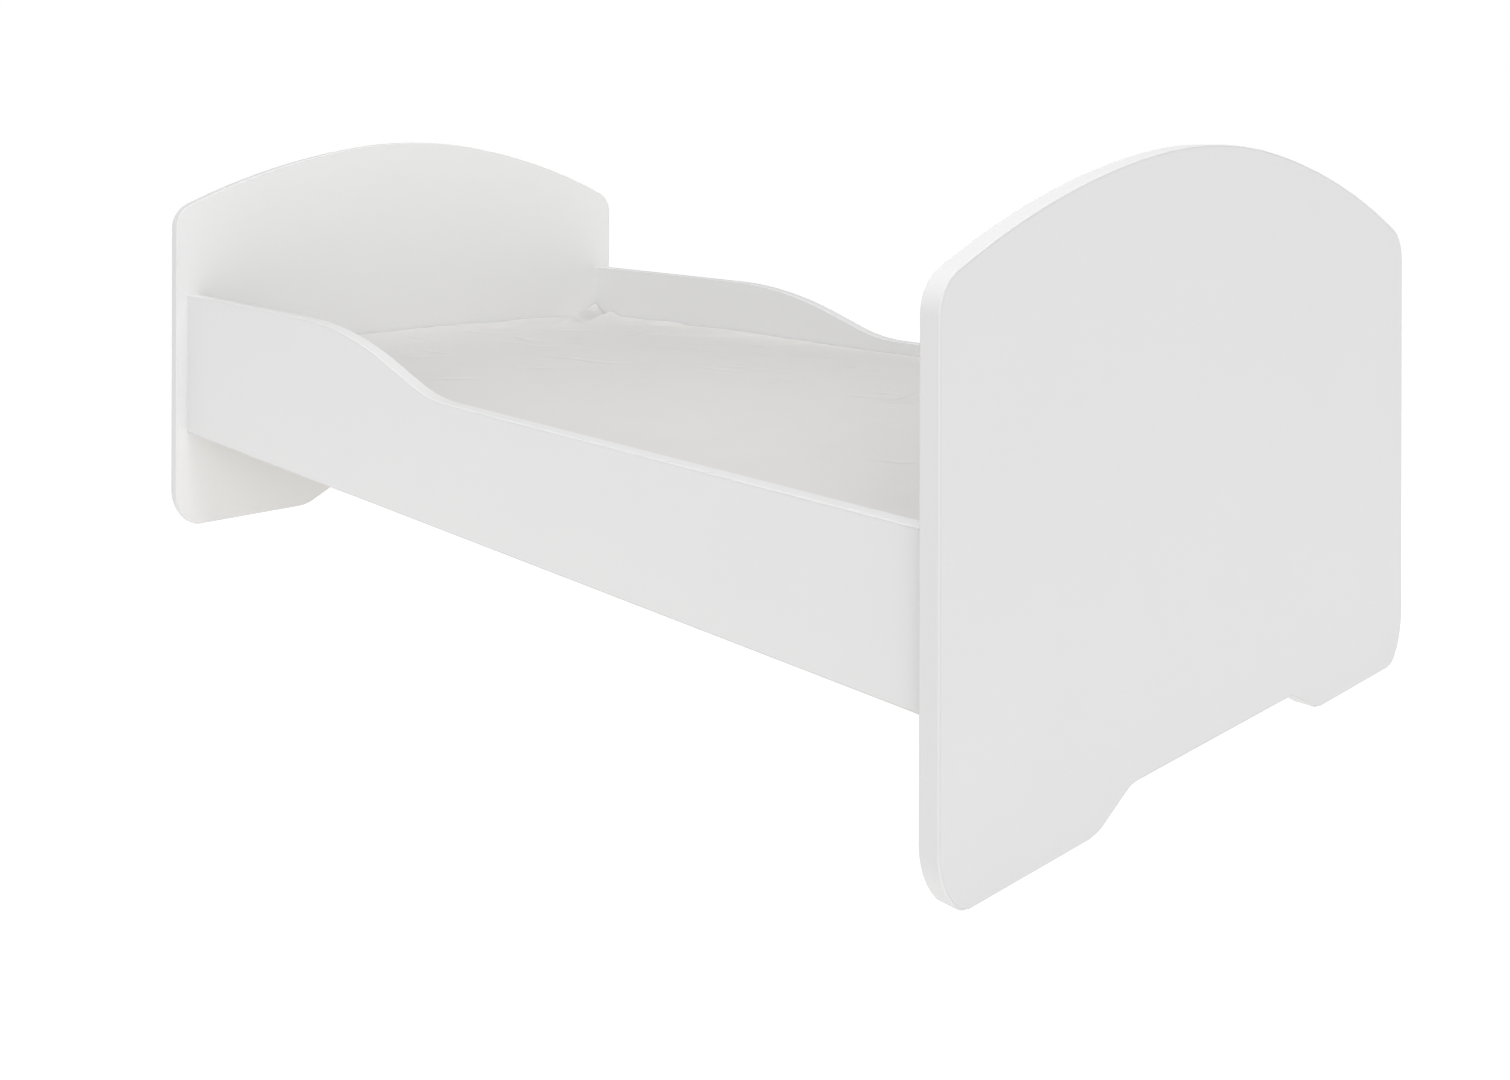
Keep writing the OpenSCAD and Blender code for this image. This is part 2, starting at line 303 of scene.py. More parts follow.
def slat_board(index):
    """A planed pine slat with eased edges and ends, a little bowed and twisted."""
    low, high = box_mm(f"slat_{index:02d}")
    center, half = (low + high) / 2, (high - low) / 2
    rng = np.random.default_rng(index)
    bow = 0.3 * abs(rng.uniform(-0.35, 0.35))
    twist = 0.5 * rng.uniform(-0.004, 0.004)
    ease, edge_r = 2.2, 2.6
    ends = [(0.0, ease), (0.3 * ease, 0.3 * ease), (ease, 0.0)]
    stations = [(-half[1] + step, shrink) for step, shrink in ends]
    stations += [(y, 0.0) for y in np.linspace(-half[1] + 12, half[1] - 12, 25)]
    stations += [(half[1] - step, shrink) for step, shrink in reversed(ends)]
    rings = []
    for y, shrink in stations:
        section = rounded_section(half[0] - shrink, half[2] - shrink, edge_r)
        share = y / half[1]
        lift = 0.03 - bow * share ** 2
        rings.append([
            (center[0] + x, center[1] + y, center[2] + SLAT_PLANED * z + lift + twist * share * x)
            for x, z in section
        ])
    return loft(f"slat_board_{index:02d}", rings)


def webbing(name, node):
    """A woven tape stapled below the slats, hanging a little between them."""
    low, high = box_mm(node)
    center, half = (low + high) / 2, (high - low) / 2
    pitch = 2 * RAIL_HALF_LENGTH / SLAT_COUNT
    gap = pitch - (box_mm("slat_01")[1][0] - box_mm("slat_01")[0][0])
    sag, pieces = 2.4, 260
    rings = []
    for x in np.arange(low[0], high[0] + 0.1, (high[0] - low[0]) / pieces):
        from_middle = (x / pitch - 0.5) % 1.0 - 0.5
        share = min(1.0, abs(from_middle) * pitch / (gap / 2))
        drop = sag * (1 + math.cos(math.pi * share)) / 2
        section = rounded_section(half[1], half[2] * 0.94, 0.6, 3)
        rings.append([(x, center[1] + y, center[2] + z - drop) for y, z in section])
    return loft(name, rings)


# ---- Shape of the mattress top ----


def smooth_noise(x, y, seed):
    """Seeded noise from -1 to 1, with features about one unit apart."""
    size = 64
    table = np.random.default_rng(seed).uniform(-1, 1, (size, size))
    ix, iy = np.floor(x).astype(int), np.floor(y).astype(int)
    fx, fy = x - ix, y - iy
    fx, fy = (f ** 3 * (f * (f * 6 - 15) + 10) for f in (fx, fy))

    def at(i, j):
        return table[i % size, j % size]

    low = at(ix, iy) * (1 - fx) + at(ix + 1, iy) * fx
    high = at(ix, iy + 1) * (1 - fx) + at(ix + 1, iy + 1) * fx
    return low * (1 - fy) + high * fy


def bump_at(x, y, center, radius):
    """A smooth bump of height 1."""
    return np.exp(-((x - center[0]) ** 2 + (y - center[1]) ** 2) / radius ** 2)


def furrow(distance, width):
    """Section of a crease at a distance from its line: 1 deep, with a soft lip on each side."""
    lips = np.exp(-((np.abs(distance) / width - 1.8) ** 2))
    return 0.12 * lips - np.exp(-((distance / width) ** 2))


# Hollows at the corners of the mattress: side along, side across, depth and reach.
HOLLOWS = [(-1, 1, 3, 170), (1, -1, 9, 170), (-1, -1, 3, 140), (1, 1, 4, 150)]


def foam_relief(x, y):
    """How far the mattress top stands above its nominal height: a low crown and soft hollows."""
    relief = 3.0 * (1 - (x / HALF_L) ** 2) * (1 - 0.4 * (y / HALF_W) ** 2)
    for along, across, depth, reach in HOLLOWS:
        relief -= depth * bump_at(x, y, (along * HALF_L, across * HALF_W), reach)
    return relief + 1.3 * smooth_noise(x / 290, y / 240, 3)


# Creases that stand out: from, to, and depth.
MAIN_CREASES = [
    ((-300, -15), (-195, 10), 2.4),
    ((-625, 155), (-540, 245), 1.8),
    ((-445, 215), (-470, 295), 1.6),
    ((-435, 245), (-410, 305), 1.6),
    ((-615, 355), (-550, 355), 1.4),
    ((-595, 272), (-595, 305), 1.2),
    ((-475, 110), (-440, 125), 1.4),
    ((-390, 55), (-340, 77), 1.4),
    ((-100, 75), (5, 100), 1.2),
    ((-75, 113), (-35, 130), 1.0),
    ((-255, -285), (-215, -230), 2.0),
    ((-530, -147), (-475, -133), 1.4),
    ((-478, -202), (-445, -147), 1.6),
    ((-715, 38), (-645, 62), 1.8),
    ((-606, 42), (-602, 107), 1.6),
    ((-600, 103), (-577, 138), 1.4),
    ((-565, 59), (-495, 66), 2.8),
    ((-525, 7), (-495, 38), 1.6),
    ((-285, -150), (-222, -78), 1.6),
    ((-702, -77), (-660, -53), 1.4),
    ((-628, -133), (-603, -68), 1.4),
    ((-205, 311), (-170, 304), 1.0),
    ((-48, 287), (-18, 322), 1.2),
    ((40, 252), (68, 272), 1.2),
    ((235, 62), (283, 87), 1.4),
    ((242, 108), (282, 127), 1.4),
    ((306, 60), (289, 155), 1.8),
    ((320, 60), (321, 120), 1.4),
    ((525, -198), (570, -167), 2.0),
    ((-724, 360), (-637, 257), 0.6),
]
DIP = ((630, -260), 42, 2.6)    # centre, reach and depth of a broad dip by the foot end

# Families of fine wrinkles: heading, length, spacing, depth, and how they gather, as the share
# away from the bunched corner, and the weight near that corner and near the rear side.
WRINKLES = [
    (47, 150, 36, 2.2, 0.10, 0.8, 0.1),
    (14, 170, 38, 1.6, 0.12, 0.9, 0.1),
    (38, 190, 40, 1.7, 0.10, 0.1, 0.9),
]
MAIN_SHARE = 0.8        # share of a main crease's depth that the mesh takes
CREASE_W = 6.5          # half width of a crease in the mesh
LINE_REACH = 9.0        # how far from its middle a crease's painted shade line is known
LINE_W = 3.2            # half width of the painted shade line at a crease's bottom


def main_creases(x, y):
    """Distance from the nearest of the main creases, how strong it is there, and their relief."""
    nearest, strength, relief = np.zeros_like(x), np.zeros_like(x), np.zeros_like(x)
    for (start_x, start_y), (end_x, end_y), depth in MAIN_CREASES:
        half = math.dist((start_x, start_y), (end_x, end_y)) / 2
        heading = math.atan2(end_y - start_y, end_x - start_x)
        from_x, from_y = x - (start_x + end_x) / 2, y - (start_y + end_y) / 2
        along = from_x * math.cos(heading) + from_y * math.sin(heading)
        across = from_y * math.cos(heading) - from_x * math.sin(heading)
        across = across - 0.12 * along ** 2 / half
        taper = np.clip(1 - (along / (1.25 * half)) ** 2, 0, 1) ** 1.5
        relief += MAIN_SHARE * depth * taper * furrow(across, CREASE_W)
        here = taper * min(1.0, depth / 2) * np.clip(2 - np.abs(across) / LINE_REACH, 0, 1)
        nearest = np.where(here > strength, across, nearest)
        strength = np.maximum(here, strength)
    return nearest, strength, relief


def fine_wrinkles(x, y, heading, length, spacing, seed):
    """Distance from broken lines of short creases that run along heading, and their strength.

    The lines are where the noise rises through 0, so that none closes into a loop.
    """
    angle = math.radians(heading)
    along = (x * math.cos(angle) + y * math.sin(angle)) / length
    across = (y * math.cos(angle) - x * math.sin(angle)) / spacing
    waves = smooth_noise(along, across, seed)
    rise = smooth_noise(along, across + 0.1, seed) - smooth_noise(along, across - 0.1, seed)
    breaks = np.clip(1.6 * smooth_noise(along * 1.7 + 9, across * 0.4, seed + 1) + 0.1, 0, 1)
    return waves * spacing / 1.5, breaks * np.clip(6 * rise, 0, 1)


def wrinkle_family(x, y, index):
    """Distance, strength and relief of one family of fine wrinkles."""
    heading, length, spacing, depth, everywhere, at_corner, at_rear = WRINKLES[index]
    distance, breaks = fine_wrinkles(x, y, heading, length, spacing, 21 + 10 * index)
    gathered = (
        everywhere
        + at_corner * bump_at(x, y, (-HALF_L, HALF_W), 500)
        + at_rear * np.exp(-((y - HALF_W) / 240) ** 2) * fade(x, 380, 640)
    )
    strength = breaks * gathered * (1 - 0.8 * bump_at(x, y, (-720, 330), 95))
    return distance, strength, depth * strength * furrow(distance, CREASE_W)


def crease_families(x, y):
    """The main creases and each family of wrinkles, each as distance, strength and relief."""
    return [main_creases(x, y)] + [wrinkle_family(x, y, index) for index in range(len(WRINKLES))]


def sheet_relief(x, y):
    """How far the sheet stands above the mattress top."""
    center, reach, depth = DIP
    slack = 0.25 + bump_at(x, y, (-HALF_L, HALF_W), 450) + 0.7 * np.exp(-((y - HALF_W) / 200) ** 2)
    relief = 1.2 * slack * smooth_noise((x + y) / 170, (y - x) / 80, 5)
    relief -= depth * bump_at(x, y, center, reach)
    return relief + sum(family[2] for family in crease_families(x, y))


def fade(along, start, end):
    """1 up to start, falling smoothly to 0 at end."""
    share = np.clip((end - along) / (end - start), 0, 1)
    return share * share * (3 - 2 * share)


def ridge(across, middle, near_w, far_w):
    """A ridge of height 1, with its own width on either side."""
    away = across - middle
    return np.exp(-((away / np.where(away < 0, near_w, far_w)) ** 2))


# Folds and hollows beside the roll of slack cloth in the rear head corner: height, place and
# width on either side across the roll, and where along it they start to fade and where they end.
SIDE_FOLDS = [
    (8.0, 41, 8, 18, 100, 225),
    (-5.5, 27, 5, 5, 90, 225),
    (-5.0, -22, 10, 9, 70, 230),
]
TUCKS = (58, 76)        # places along the roll where it is pinched


def corner_folds(x, y):
    """Slack cloth in the rear head corner: a long roll, a smaller fold beside it, and a pit."""
    heading = math.radians(-50)
    from_x, from_y = x + HALF_L - 3, y - HALF_W + 3
    along = from_x * math.cos(heading) + from_y * math.sin(heading)
    across = from_y * math.cos(heading) - from_x * math.sin(heading)
    bend = across - 4 * np.sin(along / 60)
    relief = 18 * ridge(bend, 0, 9, 17) * fade(along, 125, 290)
    for height, middle, near_w, far_w, start, end in SIDE_FOLDS:
        relief += height * ridge(across, middle, near_w, far_w) * fade(along, start, end)
    tucks = sum(ridge(along - 0.25 * across, place, 5, 4.5) for place in TUCKS)
    relief -= 1.2 * tucks * ridge(across, 6, 16, 16)
    return relief - 4 * bump_at(along, across, (26, 30), 9)


def sheet_top(x, y):
    return TOP_Z + foam_relief(x, y) + sheet_relief(x, y) + corner_folds(x, y)


# ---- Mattress and sheet: a top grid with rows of a rounded rectangle hung from its border ----


def border(columns, rows):
    """Grid indices round the edge of a grid, anticlockwise from its lowest corner."""
    return (
        [(i, 0) for i in range(columns)]
        + [(columns, j) for j in range(rows)]
        + [(i, rows) for i in range(columns, 0, -1)]
        + [(0, j) for j in range(rows, 0, -1)]
    )


def on_rounded(x, y, half_l, half_w, radius):
    """Moves points of a rectangle's corners onto its rounded corners, at every depth inside it."""
    depth = np.minimum(half_l - np.abs(x), half_w - np.abs(y))
    radius = np.maximum(radius - depth, 0.01)
    core_x, core_y = half_l - depth - radius, half_w - depth - radius
    base_x, base_y = np.clip(x, -core_x, core_x), np.clip(y, -core_y, core_y)
    dx, dy = x - base_x, y - base_y
    far = np.maximum(np.hypot(dx, dy), 1e-9)
    corner = (np.abs(dx) > 1e-9) & (np.abs(dy) > 1e-9)
    scale = np.where(corner, radius / far, 1.0)
    return base_x + dx * scale, base_y + dy * scale


def even_border(columns, rows):
    """Places round the border of an even grid, from -1 to 1 along and across."""
    around = np.array(border(columns, rows))
    return 2 * around[:, 0] / columns - 1, 2 * around[:, 1] / rows - 1


def quads(columns, rows, ring_rows, ring):
    """Faces of the grid and of the rows below its border."""
    faces = []
    for i in range(columns):
        a = i * (rows + 1)
        b = a + rows + 1
        faces += [(a + j, b + j, b + j + 1, a + j + 1) for j in range(rows)]
    above = ring
    start = (columns + 1) * (rows + 1)
    for _ in range(ring_rows):
        below = list(range(start, start + len(ring)))
        for k in range(len(ring)):
            n = (k + 1) % len(ring)
            faces.append((above[n], above[k], below[k], below[n]))
        above = below
        start += len(ring)
    return faces


GRADING = 0.3           # how much finer the grid is towards the bunched corner


def soft_box(columns, rows, half_l, half_w, edge_r, corner_r, top, ring_profile):
    """Points and faces of a soft box, open below.

    top(x, y) is the height of its top. ring_profile lists (inset, corner radius, height) for
    each row below the border, and a row's height is called with the row's x, y and top height.
    """
    across, along = np.linspace(-1, 1, columns + 1), np.linspace(-1, 1, rows + 1)
    across, along = across - GRADING * (1 - across ** 2) / 2, along + GRADING * (1 - along ** 2) / 2
    ux, uy = np.meshgrid(across, along, indexing="ij")
    in_l, in_w = half_l - edge_r, half_w - edge_r
    x, y = on_rounded(ux * in_l, uy * in_w, in_l, in_w, corner_r - edge_r)
    points = [np.stack([x, y, top(x, y)], axis=-1).reshape(-1, 3)]
    around = border(columns, rows)
    ring = [i * (rows + 1) + j for i, j in around]
    ring_ux = np.array([ux[i, j] for i, j in around])
    ring_uy = np.array([uy[i, j] for i, j in around])
    for inset, radius, height in ring_profile:
        row_l, row_w = half_l - inset, half_w - inset
        x, y = on_rounded(ring_ux * row_l, ring_uy * row_w, row_l, row_w, radius)
        points.append(np.stack([x, y, height(x, y, top(x, y))], axis=-1))
    return np.concatenate(points), quads(columns, rows, len(ring_profile), ring)


def top_rounding(radius, corner_r, steps):
    """Profile rows that turn from the top down into the side."""
    rows = []
    for i in range(1, steps + 1):
        angle = math.radians(90 * i / steps)
        inset, drop = radius * (1 - math.sin(angle)), radius * (1 - math.cos(angle))
        rows.append((inset, corner_r - inset, lambda x, y, top, drop=drop: top - drop))
    return rows


def side_rows(radius, foot_z, corner_r, count):
    """Profile rows down a side, from the rounding of the top to a height near the bottom."""
    rows = []
    for i in range(1, count + 1):
        share = i / count
        rows.append((
            0.0, corner_r,
            lambda x, y, top, share=share: (top - radius) * (1 - share) + foot_z * share,
        ))
    return rows


def bottom_rounding(radius, foot_z, corner_r, steps):
    """Profile rows that turn from a side under the mattress."""
    rows = []
    for i in range(1, steps + 1):
        angle = math.radians(90 * i / steps)
        inset, drop = radius * (1 - math.cos(angle)), radius * math.sin(angle)
        rows.append((inset, corner_r - inset, lambda x, y, top, drop=drop: foot_z - drop + 0 * x))
    return rows


def gathers(x, y):
    """Height of the elastic's gathers, from 0 to 1, along the border of the mattress."""
    along = np.where(np.abs(x) / HALF_L > np.abs(y) / HALF_W, y, x)
    drift = 0.8 * smooth_noise(x / 60, y / 60, 71)
    waves = np.sin(2 * math.pi * along / 19 + 2 * drift)
    return 0.5 + 0.5 * waves * (0.7 + 0.3 * smooth_noise(x / 45, y / 45, 72))


SHEET_GRID = (352, 182)
SHEET_CORNER_R = 18.0
FOOT_R = 11.0           # rounding between the sheet's side and its hem
HEM_ROUNDING = 60.0     # how much rounder the hem's corners get towards the elastic
HEM_Z = BED_Z + 0.5
BULGE = 1.4             # how far the sheet's upper edge leans towards the boards
GATHER_H = 2.0


def hem_height(share):
    """Height of the hem at a share of its width, from the fold to the elastic."""
    return lambda x, y, top: HEM_Z + GATHER_H * share ** 1.6 * gathers(x, y)


def cotton_sheet():
    """The fitted sheet: top, sides and the hem that turns under the mattress."""
    edge_r, corner_r = 3.6, SHEET_CORNER_R
    hem_rows = 10
    profile = top_rounding(edge_r, corner_r, 5)
    profile += side_rows(edge_r, HEM_Z + FOOT_R, corner_r, 6)
    profile += bottom_rounding(FOOT_R, HEM_Z + FOOT_R, corner_r, 4)
    for i in range(1, hem_rows + 1):
        share = i / hem_rows
        inset = FOOT_R + (HEM_W - ELASTIC_W - FOOT_R) * share
        profile.append((inset, corner_r - FOOT_R + HEM_ROUNDING * share, hem_height(share)))
    points, faces = soft_box(*SHEET_GRID, HALF_L, HALF_W, edge_r, corner_r, sheet_top, profile)
    upper = np.clip((points[:, 2] - TOP_Z + 40) / 30, 0, 1)
    points[:, 0] += BULGE * upper * np.sign(points[:, 0]) * (np.abs(points[:, 0]) / HALF_L) ** 8
    points[:, 1] += BULGE * upper * np.sign(points[:, 1]) * (np.abs(points[:, 1]) / HALF_W) ** 8
    lean = 0.5 * (1 - smooth_noise(points[:, 0] / 34, points[:, 1] / 34 + points[:, 2] / 60, 81))
    side = np.clip((TOP_Z - 8 - points[:, 2]) / 20, 0, 1) * np.clip((points[:, 2] - HEM_Z) / 20, 0, 1)
    away = np.maximum(np.abs(points[:, 0]) - (HALF_L - 3), 0) > 0
    points[:, 0] -= np.sign(points[:, 0]) * lean * side * away
    points[:, 1] -= np.sign(points[:, 1]) * lean * side * ~away
    sheet = add_object("cotton_sheet", points, faces, sharp=180)
    lay_cloth_map(sheet, points)
    keep_creases(sheet, points)
    return sheet


def keep_creases(obj, points):
    """Keeps each family's distance in metres and strength on the vertices, for the material's painted
    crease shade and its fold bump.
    """
    on_top = points[:, 2] > TOP_Z - 12
    for index, (distance, strength, _) in enumerate(crease_families(points[:, 0], points[:, 1])):
        layer = obj.data.attributes.new(f"creases_{index}", "FLOAT_VECTOR", "POINT")
        stored = np.stack([distance * MM, strength * on_top, 0 * distance], axis=-1)
        layer.data.foreach_set("vector", stored.ravel())


def lay_cloth_map(obj, points):
    """A map of the flat cloth in metres, for the weave: x and y, let down over the sides."""
    over = np.maximum(TOP_Z - 5 - points[:, 2], 0)
    beyond_x = np.abs(points[:, 0]) / HALF_L >= np.abs(points[:, 1]) / HALF_W
    flat_x = points[:, 0] + np.sign(points[:, 0]) * over * beyond_x
    flat_y = points[:, 1] + np.sign(points[:, 1]) * over * ~beyond_x
    flat = np.stack([flat_x, flat_y], axis=-1) * MM
    layer = obj.data.uv_layers.new(name="cloth")
    corners = np.zeros(len(obj.data.loops), int)
    obj.data.loops.foreach_get("vertex_index", corners)
    layer.data.foreach_set("uv", flat[corners].ravel())


def hem_elastic():
    """The elastic in the hem's edge: a thin band that rises and falls with the gathers."""
    inner, outer = HEM_W, HEM_W - ELASTIC_W - 1
    radius = SHEET_CORNER_R - FOOT_R + HEM_ROUNDING
    ux, uy = even_border(*SHEET_GRID)
    section = [(outer, 0.9), (outer, -0.2), (inner, -0.2), (inner + 0.6, 0.3), (inner, 0.9)]
    columns = []
    for inset, rise in section:
        half_l, half_w = HALF_L - inset, HALF_W - inset
        x, y = on_rounded(ux * half_l, uy * half_w, half_l, half_w, radius)
        z = HEM_Z + GATHER_H * gathers(x, y) + rise
        columns.append(np.stack([x, y, z], axis=-1))
    return loft("hem_elastic", np.array(columns).transpose(1, 0, 2), closed=True, sharp=50)


def quilting(x, y, pitch=95.0, depth=2.0):
    """Height of a diamond quilt from 0 at its seams to depth in the middle of a diamond."""
    one = np.abs(np.sin(math.pi * (x + y) / pitch))
    two = np.abs(np.sin(math.pi * (x - y) / pitch))
    return depth * np.minimum(one, two) ** 0.55


def cap_bottom(points, faces, columns, rows, ring_rows, height):
    """Closes a soft box below with a copy of its grid that meets the last row."""
    ring = [i * (rows + 1) + j for i, j in border(columns, rows)]
    grid = (columns + 1) * (rows + 1)
    last = grid + (ring_rows - 1) * len(ring)
    bottom = points[:grid].copy()
    bottom[:, 2] = height(bottom[:, 0], bottom[:, 1])
    index = {}
    for k, corner in enumerate(ring):
        index[corner] = last + k
    free = [i for i in range(grid) if i not in index]
    for k, i in enumerate(free):
        index[i] = len(points) + k
    for i in range(columns):
        a = i * (rows + 1)
        b = a + rows + 1
        for j in range(rows):
            corners = (a + j, a + j + 1, b + j + 1, b + j)
            faces.append(tuple(index[c] for c in corners))
    return np.concatenate([points, bottom[free]]), faces


def foam_block():
    """The mattress core, cut from one block of foam."""
    inset, drop = 4.5, 5.5
    edge_r, corner_r, foot_z = 14.0, 26.0, BED_Z + 8.5
    columns, rows = 100, 52
    half_l, half_w = HALF_L - inset, HALF_W - inset
    profile = top_rounding(edge_r, corner_r, 4)
    profile += side_rows(edge_r, foot_z + 6, corner_r, 4)
    profile += bottom_rounding(6, foot_z + 6, corner_r, 3)
    points, faces = soft_box(
        columns, rows, half_l, half_w, edge_r, corner_r,
        lambda x, y: TOP_Z - drop + foam_relief(x, y), profile,
    )
    points, faces = cap_bottom(points, faces, columns, rows, len(profile), lambda x, y: foot_z + 0 * x)
    return face_out(add_object("foam_block", points, faces, sharp=60))


def quilted_cover():
    """The mattress cover's top and border, quilted in diamonds."""
    inset, drop, quilt = 2.6, 3.6, 1.2
    edge_r, corner_r, foot_z = 14.0, 25.0, BED_Z + 7.0
    half_l, half_w = HALF_L - inset, HALF_W - inset
    profile = top_rounding(edge_r, corner_r, 5)
    profile += side_rows(edge_r, foot_z, corner_r, 6)
    points, faces = soft_box(
        266, 136, half_l, half_w, edge_r, corner_r,
        lambda x, y: TOP_Z - drop - quilt + foam_relief(x, y) + quilting(x, y, depth=quilt), profile,
    )
    cover = add_object("quilted_cover", points, faces, sharp=180)
    lay_cloth_map(cover, points)
    shell = cover.modifiers.new("thickness", "SOLIDIFY")
    shell.thickness = 1.1 * MM
    shell.offset = -1
    return cover


def quilted_base():
    """The underside of the mattress cover, quilted, and thinner where the hem lies on it."""
    inset, columns, rows = 2.6, 266, 136
    half_l, half_w = HALF_L - inset, HALF_W - inset
    corner_r, top_z = 25.0, BED_Z + 7.0
    profile = [
        (0.0, corner_r, lambda x, y, top: top - 0.5),
        (0.0, corner_r, lambda x, y, top: top - 1.6),
    ]

    def underside(x, y):
        depth = np.minimum(half_l - np.abs(x), half_w - np.abs(y))
        free = np.clip((depth - HEM_W - 2) / 14, 0, 1)
        free = free * free * (3 - 2 * free)
        return top_z - 2.0 - free * (1.0 + quilting(x, y))

    points, faces = soft_box(
        columns, rows, half_l, half_w, 0.5, corner_r, lambda x, y: top_z - 0.1 + 0 * x, profile,
    )
    points, faces = cap_bottom(points, faces, columns, rows, len(profile), underside)
    base = face_out(add_object("quilted_base", points, faces, sharp=60))
    lay_cloth_map(base, points)
    return base


def cover_piping():
    """The piped seam round the mattress cover, where its top and its underside meet."""
    radius, steps = 1.5, 10
    ux, uy = even_border(120, 62)
    columns = []
    for i in range(steps):
        out, up = on_circle((0.0, 0.0), radius, 360 * i / steps)
        half_l, half_w = HALF_L - 3.0 + out, HALF_W - 3.0 + out
        x, y = on_rounded(ux * half_l, uy * half_w, half_l, half_w, 25.0 + out)
        columns.append(np.stack([x, y, BED_Z + 7.0 + up + 0 * x], axis=-1))
    return loft("cover_piping", np.array(columns).transpose(1, 0, 2), closed=True, sharp=60)


# ---- Materials ----


class Surface:
    """A Principled material with the helpers that its pattern needs."""

    def __init__(self, name, color, roughness, specular=0.5, **sockets):
        self.material = bpy.data.materials.new(name)
        self.material.use_nodes = True
        self.tree = self.material.node_tree
        self.shader = self.tree.nodes["Principled BSDF"]
        self.shader.inputs["Base Color"].default_value = (*color, 1)
        self.shader.inputs["Roughness"].default_value = roughness
        self.shader.inputs["Specular IOR Level"].default_value = specular
        for socket, value in sockets.items():
            self.shader.inputs[socket.replace("_", " ").title()].default_value = value

    def node(self, kind, links=(), **values):
        """Adds a node, sets its inputs and settings by name, and links its inputs."""
        made = self.tree.nodes.new(kind)
        for key, value in values.items():
            name = key.replace("_", " ").title()
            if name in made.inputs:
                made.inputs[name].default_value = value
            else:
                setattr(made, key, value)
        for socket, source in dict(links).items():
            self.tree.links.new(source, made.inputs[socket])
        return made

    def link(self, source, socket):
        self.tree.links.new(source, self.shader.inputs[socket])

    def coordinates(self, scale=(1, 1, 1), uv=None):
        """Metre coordinates of the object, or of a flat cloth map, scaled along each axis."""
        if uv:
            source = self.node("ShaderNodeUVMap", uv_map=uv).outputs["UV"]
        else:
            source = self.node("ShaderNodeTexCoord").outputs["Object"]
        return self.node("ShaderNodeMapping", {"Vector": source}, scale=scale).outputs["Vector"]

    def noise(self, vector, scale, detail=2.0, roughness=0.5, distortion=0.0):
        node = self.node(
            "ShaderNodeTexNoise", {"Vector": vector}, scale=scale, detail=detail,
            roughness=roughness, distortion=distortion,
        )
        return node.outputs["Fac"]

    def waves(self, vector, direction, scale, **values):
        """Parallel bands across an axis, or across the diagonal."""
        node = self.node(
            "ShaderNodeTexWave", {"Vector": vector}, wave_type="BANDS", bands_direction=direction,
            scale=scale, **values,
        )
        return node.outputs["Fac"]

    def cells(self, vector, scale):
        """Distance from the middle of the nearest of many scattered cells."""
        node = self.node("ShaderNodeTexVoronoi", {"Vector": vector}, feature="F1", scale=scale)
        return node.outputs["Distance"]

    def between(self, factor, low, high, start=0.0, end=1.0):
        """A number from low to high as factor goes from start to end."""
        node = self.node(
            "ShaderNodeMapRange", {"Value": factor}, from_min=start, from_max=end, to_min=low, to_max=high,
        )
        return node.outputs["Result"]

    def ramp(self, factor, *stops):
        """A colour ramp through (position, colour) stops."""
        node = self.node("ShaderNodeValToRGB", {"Fac": factor})
        elements = node.color_ramp.elements
        while len(elements) < len(stops):
            elements.new(0.5)
        for element, (position, color) in zip(elements, stops):
            element.position = position
            element.color = (*color, 1)
        return node.outputs["Color"]

    def tones(self, factor, low, high):
        """Base colour between two tones, by a noise."""
        self.link(self.ramp(factor, (0.3, low), (0.7, high)), "Base Color")

    def dullness(self, factor, low, high, start=0.0, end=1.0):
        """Roughness from low to high, by a noise."""
        self.link(self.between(factor, low, high, start, end), "Roughness")

    def math(self, operation, a, b):
        """Two values combined, where each is a number or an output."""
        node = self.node("ShaderNodeMath", operation=operation)
        for socket, value in zip(node.inputs, (a, b)):
            if isinstance(value, (int, float)):
                socket.default_value = value
            else:
                self.tree.links.new(value, socket)
        return node.outputs["Value"]

    def weighted(self, a, share_a, b, share_b):
        """Sum of two values by their shares."""
        return self.math("ADD", self.math("MULTIPLY", a, share_a), self.math("MULTIPLY", b, share_b))

    def bump(self, height, strength, distance_mm, under=None):
        """Bump from a height pattern, over another bump where under is given."""
        links = {"Height": height}
        if under:
            links["Normal"] = under
        node = self.node("ShaderNodeBump", links, strength=strength, distance=distance_mm * MM)
        self.link(node.outputs["Normal"], "Normal")
        return node.outputs["Normal"]


def white_laminate():
    """Melamine-faced board: satin white with a faint pearl and a very fine orange peel."""
    surface = Surface("white_laminate", (0.675, 0.675, 0.674), 0.42)
    place = surface.coordinates()
    surface.tones(surface.noise(place, 7, detail=4), (0.672, 0.672, 0.671), (0.677, 0.677, 0.676))
    surface.dullness(surface.noise(place, 38, 3), 0.38, 0.47)
    pearl = surface.noise(place, 520, detail=2, roughness=0.6)
    surface.bump(pearl, 0.05, 0.15)
    return surface.material


def white_edging():
    """Plastic edging: a little duller than the board, with faint draw lines."""
    surface = Surface("white_edging", (0.667, 0.667, 0.666), 0.5, specular=0.1)
    place = surface.coordinates()
    surface.tones(surface.noise(place, 9, detail=3), (0.664, 0.664, 0.663), (0.67, 0.67, 0.669))
    surface.dullness(surface.noise(place, 60, 3), 0.46, 0.56)
    surface.bump(surface.noise(place, 240, detail=3), 0.05, 0.12)
    return surface.material


def drawn_out(axis, along, across):
    """A scale that draws a pattern out along one axis."""
    scale = [across] * 3
    scale[axis] = along
    return tuple(scale)


